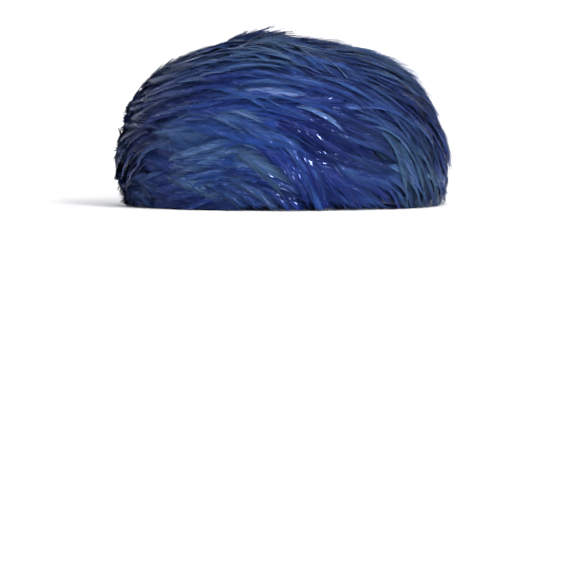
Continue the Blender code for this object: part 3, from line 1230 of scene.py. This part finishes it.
@dataclass
class FeatherRow:
    """One row of feathers that replaces a row's solid.

    A pair of climbs or shares gives where a change starts and where it is whole.
    """

    plan: RowPlan
    maker: FeatherMaker
    flow: FeatherFlow
    scatter: Scatter = Scatter()
    ground: GroundDye = GroundDye()
    side_lift: float = 3.0 * MM
    crown_lift: float = 1.6 * MM
    crown_climbs: tuple[float, float] = (0.085, 0.125)
    rim_lift: float = 1.9 * MM
    rim_climbs: tuple[float, float] = (-0.002, 0.014)
    band_lift: float = 1.2 * MM
    run_lift: float = 1.7 * MM
    tip_hug: float = 0.9 * MM
    crown_hug: float = 0.9 * MM
    hug_climbs: tuple[float, float] = (0.065, 0.100)
    hug_shares: tuple[float, float] = (0.70, 1.0)
    lone_lift: float = 2.8 * MM
    lone_tilt: float = math.radians(6)
    lone_top_tilt: float = math.radians(18)
    lone_tilt_mm: tuple[float, float] = (45.0, 70.0)
    whorl_gap: float = 0.009
    whorl_length: float = 6 * MM
    whorl_stretch: float = 1.25
    lowest_tip: float = 0.5 * MM
    top_clear: float = 1.0 * MM
    top_tilt: float = math.radians(4)
    tilt_climbs: tuple[float, float] = (0.055, 0.085)
    stoutest: float = 0.26
    brow_drop: float = 0.6
    drop_reach: float = 0.014
    layer_shade_dye: float = 0.4
    palest_dye: float = 0.92

    @property
    def lone(self) -> tuple[Lone, ...]:
        """The feathers that show on their own and have their tips in this row."""
        low, high, lowest = self.plan.low_mm, self.plan.high_mm, ROWS[0].low_mm
        return tuple(feather for feather in LONE_FEATHERS if low <= max(feather.tip_mm, lowest) < high)

    def lift_at(self, climb: np.ndarray, share: np.ndarray) -> np.ndarray:
        """Find how far off the cap this row's feathers lie.

        Args:
            climb: Climbs along the feathers.
            share: Shares along the feathers.

        Returns:
            The lifts.
        """
        low, high = self.plan.low_mm * MM, self.plan.high_mm * MM
        lift = self.rim_lift + (self.side_lift - self.rim_lift) * smooth(*self.rim_climbs, climb)
        lift = lift + (self.crown_lift - self.side_lift) * smooth(*self.crown_climbs, climb)
        lift = lift + self.band_lift * np.clip((high - climb) / (high - low), 0.0, 1.0)
        hug = self.tip_hug + self.crown_hug * smooth(*self.hug_climbs, climb)
        return lift + self.run_lift * share - hug * smooth(*self.hug_shares, share)

    def dye_and_painted_light_at(self, angle: np.ndarray, climb: np.ndarray) -> tuple[np.ndarray, np.ndarray]:
        """Find how the dye took at places on the hat, with the shade and light that some patches paint.

        Args:
            angle: Angles round the hat.
            climb: Climbs.

        Returns:
            Places from navy to pale, and shares of grey.
        """
        ground = self.ground
        weight = np.full(angle.shape, ground.weight)
        dye_wave = np.sin(ground.dye_waves * angle + climb / ground.dye_climb)
        grey_wave = np.sin(ground.grey_waves * angle - climb / ground.grey_climb)
        dye = weight * (ground.dye + ground.dye_swing * dye_wave)
        grey = weight * (ground.grey + ground.grey_swing * grey_wave)
        for patch in DYE_AND_PAINTED_LIGHT_PATCHES:
            near = self.maker.form.nearness(angle, climb, patch)
            weight = weight + near
            dye = dye + near * patch.dye
            grey = grey + near * patch.grey
        return dye / weight, grey / weight

    def trace(
        self, angle: np.ndarray, climb: np.ndarray, length: np.ndarray, turn: np.ndarray, bend: np.ndarray
    ) -> np.ndarray:
        """Follow the flow upstream from the tips of feathers.

        Args:
            angle: Angles of the tips.
            climb: Climbs of the tips.
            length: The feathers' lengths.
            turn: How far each feather lies off the flow.
            bend: How much each feather droops from root to tip.

        Returns:
            Chart places along each feather, from root to tip.
        """
        form, steps = self.maker.form, self.maker.cut.spine_steps
        places = [form.to_chart(angle, climb)]
        move = length / steps
        for step in range(steps, 0, -1):
            angle, climb = form.from_chart(places[-1])
            heading = self.flow.heading(angle, climb) + turn + bend * (step / steps - 0.5)
            around, uphill = (np.linalg.norm(way, axis=-1) for way in form.axes(angle, climb))
            wide = np.cos(heading) * (form.top - climb) / np.maximum(around, self.top_clear)
            down = np.sin(heading) / uphill
            across = np.stack([np.cos(angle), np.sin(angle)], axis=-1)
            outer = np.stack([np.sin(angle), -np.cos(angle)], axis=-1)
            way = wide[:, None] * across + down[:, None] * outer
            places.append(places[-1] - move[:, None] * way)
        return np.stack(places[::-1], axis=1)

    def place_tips(self, layer: Layer, rng: np.random.Generator) -> tuple[np.ndarray, np.ndarray]:
        """Place the tips of a layer's feathers, in lines that run round the hat.

        Args:
            layer: The layer.
            rng: The random numbers.

        Returns:
            The tips' angles and climbs.
        """
        plan, form, scatter = self.plan, self.maker.form, self.scatter
        band = plan.high_mm - plan.low_mm
        lines = round(band / layer.line_gap_mm)
        angles, climbs = [], []
        for line in range(lines):
            share = 0.0 if layer is RIM_LAYER else line + scatter.line_start
            climb = (plan.low_mm + share * band / lines) * MM
            around, _ = form.axes(np.array([scatter.girth_angle]), np.array([climb]))
            girth = 2 * math.pi * float(np.linalg.norm(around))
            count = max(scatter.fewest, round(girth / (layer.spacing_mm * MM)))
            place = np.arange(count) + line * scatter.line_shift + scatter.place * rng.normal(size=count)
            angles.append(place * (2 * math.pi / count))
            climbs.append(climb + scatter.climb * bell(rng, count))
        angle = np.concatenate(angles)
        climb = np.clip(np.concatenate(climbs), self.lowest_tip, form.top - self.top_clear)
        near_rim = np.maximum(1.0 - climb / self.drop_reach, 0.0)
        return angle, climb - self.brow_drop * form.brow(angle) * near_rim

    def lay_out(self, layer: Layer, rng: np.random.Generator) -> Plumage:
        """Lay out a layer's feathers, which leave the middle of the whorl free.

        Args:
            layer: The layer.
            rng: The random numbers.

        Returns:
            The feathers.
        """
        scatter = self.scatter
        angle, climb = self.place_tips(layer, rng)
        gap = self.flow.from_whorl(angle, climb)
        angle, climb, gap = (values[gap > self.whorl_gap] for values in (angle, climb, gap))
        count = len(angle)
        dye, grey = self.dye_and_painted_light_at(angle, climb)
        length = layer.length_mm * MM * (1.0 + scatter.length * bell(rng, count))
        length = np.minimum(length, self.whorl_stretch * gap + self.whorl_length)
        turn = scatter.turn * rng.normal(size=count)
        bend = scatter.droop + scatter.droop_spread * rng.normal(size=count)
        extra_lift = rng.uniform(layer.low_lift_mm, layer.high_lift_mm, count) * MM
        width = layer.width_mm * MM * (1.0 + scatter.width * bell(rng, count))
        tilt = scatter.tilt + scatter.tilt_spread * rng.normal(size=count)
        # Painted shade: the under and rim layers take darker dye, the top slim layer paler dye, less so
        # towards navy.
        dye = dye - layer.darker * smooth(0.0, self.layer_shade_dye, dye)
        dye = dye + scatter.dye * rng.normal(size=count)
        grey = grey + scatter.grey * rng.normal(size=count)
        return Plumage(
            layer=layer,
            places=self.trace(angle, climb, length, turn, bend),
            extra_lift=extra_lift,
            width=np.minimum(width, self.stoutest * length),
            tilt=tilt + self.top_tilt * smooth(*self.tilt_climbs, climb),
            dye=dye.clip(0.0, self.palest_dye),
            grey=grey.clip(0.0, 1.0),
        )

    def lay_lone(self) -> Plumage:
        """Place the feathers that show on their own.

        Returns:
            The feathers.
        """
        form = self.maker.form
        lone = Lone(*np.array(self.lone, dtype=float).T)
        root = form.to_chart(np.radians(lone.root_deg), lone.root_mm * MM)[:, None]
        tip = form.to_chart(np.radians(lone.tip_deg), lone.tip_mm * MM)[:, None]
        share = np.linspace(0.0, 1.0, self.maker.cut.spine_steps + 1)[None, :, None]
        bow = unit((root + tip) / 2) * (lone.bow_mm * MM)[:, None, None] * 4 * share * (1 - share)
        return Plumage(
            layer=LONE_LAYER,
            places=root + (tip - root) * share + bow,
            extra_lift=np.full(len(self.lone), self.lone_lift),
            width=lone.width_mm * MM,
            tilt=self.lone_tilt + self.lone_top_tilt * smooth(*self.lone_tilt_mm, lone.tip_mm),
            dye=lone.dye,
            grey=lone.grey,
        )

    def build(self, materials: tuple[Any, ...]) -> Any:
        """Make the row, dress it and fit it over its solid.

        Args:
            materials: The materials, in the order of Finish.

        Returns:
            The mesh object.
        """
        rng = np.random.default_rng(self.plan.seed)
        layers = LAYERS + ((RIM_LAYER,) if self.plan is ROWS[0] else ())
        batches = [self.lay_out(layer, rng) for layer in layers]
        if self.lone:
            batches.append(self.lay_lone())
        parts = MeshParts(sum(feathers.count for feathers in batches))
        for feathers in batches:
            self.maker.add(parts, feathers, self.lift_at, self.plan.slick, rng)
        piece = parts.build(f"{self.plan.node}_loose")
        set_materials(piece, *materials)
        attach(piece, "root")
        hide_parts(self.plan.node)
        LOG.info("%s: %d feathers, %d faces", piece.name, parts.laid, len(piece.data.polygons))
        return piece


@dataclass(frozen=True)
class DyedHackle:
    """Cock hackle feather, stripped, acid-dyed in blues and strung: keratin barbs with a silky gloss.

    The barbs lie side by side and catch the light in fine lines. Each barb's strand, from 0 to 1, makes
    it a little deeper or paler, and the highest strands are faded and glossy. A pair of strands or
    dyes gives where a change starts and where it is whole.
    """

    name: str = "acid_dyed_hackle_barbs"
    strand_range: float = 0.20
    strand_least: float = -0.12
    tip_paler: float = 0.07
    faded: str = "#5c6499"
    fading: float = 0.55
    faded_strands: tuple[float, float] = (0.72, 0.95)
    faded_dyes: tuple[float, float] = (0.0, 0.5)
    navy_fading: float = 0.25
    grain: tuple[float, float, float] = (2.0, 40.0, 30.0)
    grain_seen: tuple[float, float] = (0.25, 0.75)
    shade: tuple[float, float] = (0.74, 0.97)
    bump: float = 0.35
    bump_mm: float = 0.2
    ior: float = 1.55
    roughness: float = 0.48
    glossy: float = 0.24
    glossy_strands: tuple[float, float] = (0.78, 0.84)
    specular: float = 0.14
    specular_tint: str = "#7fa6e6"
    sheen: float = 0.03
    sheen_tint: str = "#9db8e8"
    coat: float = 0.0
    coat_roughness: float = 0.2

    def build(self) -> Any:
        """Make the material.

        Returns:
            The material.
        """
        material, tree, shader = new_material(self.name)
        dye, grey, strand, reach, run = (
            add_node(tree, "Attribute", settings={"attribute_name": name}, output="Fac")
            for name in ("dye", "grey", "strand", "reach", "run")
        )
        spread = add_node(tree, "Math", strand, self.strand_range, self.strand_least, settings=MULTIPLY_ADD)
        toned = add_node(tree, "Math", dye, spread, settings=ADD)
        paler = add_node(tree, "Math", reach, self.tip_paler, toned, settings=MULTIPLY_ADD)
        blues, greys = (add_node(tree, "ValToRGB", paler) for _ in range(2))
        fill_ramp(blues.node.color_ramp, Blue)
        fill_ramp(greys.node.color_ramp, Grey)
        dyed = add_node(tree, "Mix", grey, i6=blues, i7=greys, settings=MIX_COLOURS, output=2)
        faded = add_node(tree, "MapRange", strand, *self.faded_strands, 0.0, self.fading)
        worn = add_node(tree, "MapRange", dye, *self.faded_dyes, self.navy_fading, 1.0)
        fading = add_node(tree, "Math", faded, worn, settings=MULTIPLY)
        mixed = add_node(
            tree, "Mix", fading, i6=dyed, i7=linear(self.faded), settings=MIX_COLOURS, output=2
        )
        seat = add_node(tree, "CombineXYZ", reach, run, strand)
        scaled = add_node(tree, "VectorMath", seat, self.grain, settings=MULTIPLY)
        grain = add_node(tree, "TexNoise", scaled, Scale=1.0, Detail=2.0, Roughness=0.6)
        shade = add_node(tree, "MapRange", grain, *self.grain_seen, *self.shade)
        barbed = add_node(tree, "VectorMath", mixed, Scale=shade, settings={"operation": "SCALE"})
        bump = add_node(tree, "Bump", self.bump, self.bump_mm * MM, Height=grain)
        gloss = add_node(tree, "MapRange", strand, *self.glossy_strands, self.roughness, self.glossy)
        fill_inputs(tree, shader, Base_Color=barbed, Normal=bump, Roughness=gloss, IOR=self.ior)
        tint = linear(self.specular_tint)
        fill_inputs(tree, shader, Specular_IOR_Level=self.specular, Specular_Tint=tint)
        fill_inputs(tree, shader, Sheen_Weight=self.sheen, Sheen_Tint=linear(self.sheen_tint))
        fill_inputs(tree, shader, Coat_Weight=self.coat, Coat_Roughness=self.coat_roughness)
        return material


@dataclass(frozen=True)
class SizedHackle(DyedHackle):
    """The same hackle where its barbs are stuck flat with size: slick strips that glint like satin."""

    name: str = "sized_slick_barbs"
    roughness: float = 0.2
    glossy: float = 0.2
    specular: float = 1.0
    specular_tint: str = "#9cb4ff"
    coat: float = 0.15


@dataclass(frozen=True)
class HornyRachis:
    """The horny shaft of a dyed hackle: harder than the barbs and a little paler towards its root."""

    name: str = "scraped_horny_rachis"
    root: str = "#2c3f78"
    tip: str = "#1b2c60"
    tip_start: float = 0.6
    dye_pull: float = -0.7
    ior: float = 1.55
    roughness: float = 0.42
    specular: float = 0.3
    specular_tint: str = "#88a8ff"
    scuff_mm: float = 3.0
    scuffs_seen: tuple[float, float] = (0.3, 0.7)

    def build(self) -> Any:
        """Make the material.

        Returns:
            The material.
        """
        material, tree, shader = new_material(self.name)
        run, dye = (
            add_node(tree, "Attribute", settings={"attribute_name": name}, output="Fac")
            for name in ("run", "dye")
        )
        darker = add_node(tree, "Math", dye, self.dye_pull, self.tip_start, settings=MULTIPLY_ADD)
        share = add_node(tree, "Math", run, darker, settings={**ADD, "use_clamp": True})
        ends = {"i6": linear(self.root), "i7": linear(self.tip)}
        colour = add_node(tree, "Mix", share, **ends, settings=MIX_COLOURS, output=2)
        place = add_node(tree, "TexCoord", output="Object")
        scuffs = add_node(tree, "TexNoise", place, Scale=1 / (self.scuff_mm * MM), Detail=1.0)
        rough = add_node(tree, "MapRange", scuffs, *self.scuffs_seen, self.roughness, 2 * self.roughness)
        fill_inputs(tree, shader, Base_Color=colour, Roughness=rough, IOR=self.ior)
        tint = linear(self.specular_tint)
        fill_inputs(tree, shader, Specular_IOR_Level=self.specular, Specular_Tint=tint)
        return material


@dataclass(frozen=True)
class PressedFelt:
    """Wool felt blocked to shape with size and dyed navy: a matt, slightly furry, uneven face."""

    name: str = "pressed_wool_felt"
    deep: str = "#11152f"
    light: str = "#1f2750"
    fibre_mm: float = 0.9
    mottle_mm: float = 9.0
    mottle_seen: tuple[float, float] = (0.7, 1.3)
    bump: float = 0.6
    bump_mm: float = 0.3
    roughness: float = 0.95
    sheen: float = 0.3

    def build(self) -> Any:
        """Make the material.

        Returns:
            The material.
        """
        material, tree, shader = new_material(self.name)
        place = add_node(tree, "TexCoord", output="Object")
        fibre = add_node(
            tree, "TexNoise", place, Scale=1 / (self.fibre_mm * MM), Detail=4.0, Roughness=0.7
        )
        mottle = add_node(tree, "TexNoise", place, Scale=1 / (self.mottle_mm * MM), Detail=2.0)
        both = add_node(tree, "Math", fibre, mottle, settings=ADD)
        share = add_node(tree, "MapRange", both, *self.mottle_seen)
        ends = {"i6": linear(self.deep), "i7": linear(self.light)}
        colour = add_node(tree, "Mix", share, **ends, settings=MIX_COLOURS, output=2)
        bump = add_node(tree, "Bump", self.bump, self.bump_mm * MM, Height=fibre)
        fill_inputs(tree, shader, Base_Color=colour, Normal=bump)
        fill_inputs(tree, shader, Roughness=self.roughness, Sheen_Weight=self.sheen)
        return material


@dataclass(frozen=True)
class RibbedRibbon:
    """Viscose ribbon woven with ribs across its length, faded to a greyed lavender: a low, even lustre."""

    name: str = "ribbed_viscose_ribbon"
    deep: str = "#2a325a"
    light: str = "#566090"
    rib_mm: float = 0.8
    rib_share: float = 0.35
    ribs_seen: tuple[float, float] = (0.1, 0.9)
    fuzz_mm: float = 10 / 9
    bump: float = 0.5
    bump_mm: float = 0.25
    roughness: float = 0.55
    sheen: float = 0.15

    def build(self, half_width: float) -> Any:
        """Make the material.

        Args:
            half_width: The rim's half-width, which turns the ribs' spacing into an angle.

        Returns:
            The material.
        """
        material, tree, shader = new_material(self.name)
        place = add_node(tree, "TexCoord", output="Object")
        apart = add_node(tree, "SeparateXYZ", place).node.outputs
        angle = add_node(tree, "Math", apart["X"], apart["Y"], settings={"operation": "ARCTAN2"})
        turns = 2 * math.pi * half_width / (self.rib_mm * MM)
        phase = add_node(tree, "Math", angle, turns, settings=MULTIPLY)
        rib = add_node(tree, "Math", phase, settings={"operation": "SINE"})
        fuzz = add_node(tree, "TexNoise", place, Scale=1 / (self.fuzz_mm * MM), Detail=3.0)
        height = add_node(tree, "Math", rib, self.rib_share, fuzz, settings=MULTIPLY_ADD)
        share = add_node(tree, "MapRange", height, *self.ribs_seen)
        ends = {"i6": linear(self.deep), "i7": linear(self.light)}
        colour = add_node(tree, "Mix", share, **ends, settings=MIX_COLOURS, output=2)
        bump = add_node(tree, "Bump", self.bump, self.bump_mm * MM, Height=height)
        fill_inputs(tree, shader, Base_Color=colour, Normal=bump)
        fill_inputs(tree, shader, Roughness=self.roughness, Sheen_Weight=self.sheen)
        return material


@dataclass(frozen=True)
class PaintedSweep:
    """Matt white emulsion on a seamless sweep: even and pale, with a faint roller grain."""

    name: str = "matt_white_emulsion"
    white: str = "#f7f7f7"
    shade: str = "#f0f0f1"
    grain_mm: float = 3.0
    roughness: float = 0.9
    specular: float = 0.2

    def build(self) -> Any:
        """Make the material.

        Returns:
            The material.
        """
        material, tree, shader = new_material(self.name)
        place = add_node(tree, "TexCoord", output="Object")
        grain = add_node(tree, "TexNoise", place, Scale=1 / (self.grain_mm * MM), Detail=2.0)
        ends = {"i6": linear(self.white), "i7": linear(self.shade)}
        colour = add_node(tree, "Mix", grain, **ends, settings=MIX_COLOURS, output=2)
        fill_inputs(tree, shader, Base_Color=colour)
        fill_inputs(tree, shader, Roughness=self.roughness, Specular_IOR_Level=self.specular)
        return material


@dataclass
class FeltCap:
    """The felt cap under the feathers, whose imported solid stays."""

    finish: PressedFelt = PressedFelt()

    def dress(self, nodes: dict[str, Any]) -> None:
        """Give the cap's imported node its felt."""
        set_materials(nodes["cap_base"], self.finish.build())
        LOG.info("cap_base: felt")


@dataclass
class RimBinding:
    """The ribbon folded over the rim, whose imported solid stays."""

    finish: RibbedRibbon = RibbedRibbon()

    def dress(self, nodes: dict[str, Any], form: HatForm) -> None:
        """Give the binding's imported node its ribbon, with the ribs spaced for the hat's width."""
        set_materials(nodes["rim_binding"], self.finish.build(form.half_width))
        LOG.info("rim_binding: ribbon")


class Lamp(NamedTuple):
    """A square lamp: its place, the place that it points at, its side and its power."""

    name: str
    place: tuple[float, float, float]
    aim: tuple[float, float, float]
    side: float
    watts: float


HAT_MIDDLE = (0.0, 0.0, 0.05)

LAMPS = (
    Lamp(name="fill_left", place=(-0.85, -0.55, 0.22), aim=HAT_MIDDLE, side=0.60, watts=1.4),
    Lamp(name="flash_low", place=(0.16, -0.67, 0.08), aim=HAT_MIDDLE, side=0.07, watts=2.3),
    Lamp(name="flash_high", place=(0.26, -0.56, 0.36), aim=HAT_MIDDLE, side=0.07, watts=2.2),
    Lamp(name="flash_side_low", place=(0.36, -0.58, 0.14), aim=HAT_MIDDLE, side=0.07, watts=1.4),
    Lamp(name="flash_side_high", place=(0.38, -0.42, 0.54), aim=HAT_MIDDLE, side=0.08, watts=1.7),
    Lamp(name="top", place=(0.0, -0.10, 1.30), aim=HAT_MIDDLE, side=1.10, watts=5.6),
    Lamp(name="wall_left", place=(-1.6, 1.0, 1.6), aim=(-0.8, 3.0, 1.0), side=1.20, watts=40.0),
    Lamp(name="wall_right", place=(1.6, 1.0, 1.6), aim=(0.8, 3.0, 1.0), side=1.20, watts=40.0),
    Lamp(name="wall_near_left", place=(-1.2, -0.8, 1.8), aim=(-2.4, -2.2, 1.0), side=1.20, watts=17.0),
    Lamp(name="wall_near_right", place=(1.2, -0.8, 1.8), aim=(2.4, -2.2, 1.0), side=1.20, watts=17.0),
)


@dataclass
class Studio:
    """The pale sweep, the lamps and the camera.

    The camera stands as far off as the photograph's was, and just above the floor.
    """

    camera_distance: float = 0.620
    camera_height: float = 0.020
    focal_pixels: float = 1022.0
    picture_pixels: int = 570
    horizon_pixel: float = 171.0
    sensor_mm: float = 36.0
    nearest_seen: float = 0.01
    floor_reach: float = 2.4
    cove_radius: float = 0.8
    wall_height: float = 3.0
    cove_steps: int = 16
    sweep_columns: int = 96
    sweep_finish: PaintedSweep = PaintedSweep()
    lamps: tuple[Lamp, ...] = LAMPS
    room_light: str = "#f2f5fb"
    room_strength: float = 0.2

    def build_sweep(self) -> Any:
        """Make the round floor that curves up into a wall.

        Returns:
            The mesh object.
        """
        turn = np.linspace(0.0, math.pi / 2, self.cove_steps + 1)
        reach = [*(self.floor_reach + self.cove_radius * np.sin(turn)), self.floor_reach + self.cove_radius]
        height = [*(self.cove_radius * (1.0 - np.cos(turn))), self.wall_height]
        columns = self.sweep_columns
        around = np.linspace(0.0, 2 * math.pi, columns, endpoint=False)
        points = [(r * math.sin(a), r * math.cos(a), z) for r, z in zip(reach, height) for a in around]
        faces = []
        for low in range(0, (len(reach) - 1) * columns, columns):
            high = low + columns
            for i in range(columns):
                after = (i + 1) % columns
                faces.append((low + i, high + i, high + after, low + after))
        faces.append(tuple(range(columns)))
        mesh = bpy.data.meshes.new("sweep")
        mesh.from_pydata(points, [], faces)
        mesh.polygons.foreach_set("use_smooth", np.ones(len(faces), dtype=bool))
        sweep = new_object("sweep", mesh)
        set_materials(sweep, self.sweep_finish.build())
        return sweep

    def build_lamps(self) -> None:
        """Hang the lamps, each turned to face its aim."""
        for lamp in self.lamps:
            light = bpy.data.lights.new(lamp.name, "AREA")
            light.size = lamp.side
            light.energy = lamp.watts
            made = new_object(lamp.name, light)
            ahead = np.array(lamp.aim) - np.array(lamp.place)
            level = math.hypot(ahead[0], ahead[1])
            turn = math.atan2(ahead[1], ahead[0]) - math.pi / 2
            made.location = lamp.place
            made.rotation_euler = (math.atan2(level, -ahead[2]), 0.0, turn)
            made.visible_camera = False

    def build_world(self) -> None:
        """Fill the room with a low even light."""
        world = bpy.data.worlds.new("studio")
        world.use_nodes = True
        tree = world.node_tree
        background = tree.nodes["Background"]
        fill_inputs(tree, background, Color=linear(self.room_light), Strength=self.room_strength)
        bpy.context.scene.world = world

    def build_camera(self) -> None:
        """Place the camera so that the hat has its size and place in the photograph's frame."""
        camera = bpy.data.cameras.new("camera")
        camera.sensor_width = self.sensor_mm
        camera.lens = self.focal_pixels / self.picture_pixels * self.sensor_mm
        camera.clip_start = self.nearest_seen
        made = new_object("camera", camera)
        down = math.atan2(self.picture_pixels / 2 - self.horizon_pixel, self.focal_pixels)
        made.location = (0.0, -self.camera_distance, self.camera_height)
        made.rotation_euler = (math.pi / 2 - down, 0.0, 0.0)
        bpy.context.scene.camera = made
        bpy.context.scene.view_settings.view_transform = "Standard"

    def build(self) -> None:
        """Make the whole studio."""
        self.build_sweep()
        self.build_lamps()
        self.build_world()
        self.build_camera()
        LOG.info("studio: sweep, %d lamps and camera", len(self.lamps))


def main() -> None:
    """Load the frame, dress the hat and set the studio."""
    logging.basicConfig(level=logging.INFO, format="%(name)s: %(message)s")
    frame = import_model()
    form = HatForm.from_frame()
    maker = FeatherMaker(form)
    flow = FeatherFlow(form)
    materials = (DyedHackle().build(), HornyRachis().build(), SizedHackle().build())
    FeltCap().dress(frame["nodes"])
    RimBinding().dress(frame["nodes"], form)
    for plan in ROWS:
        FeatherRow(plan, maker, flow).build(materials)
    Studio().build()


if __name__ == "__main__":
    main()
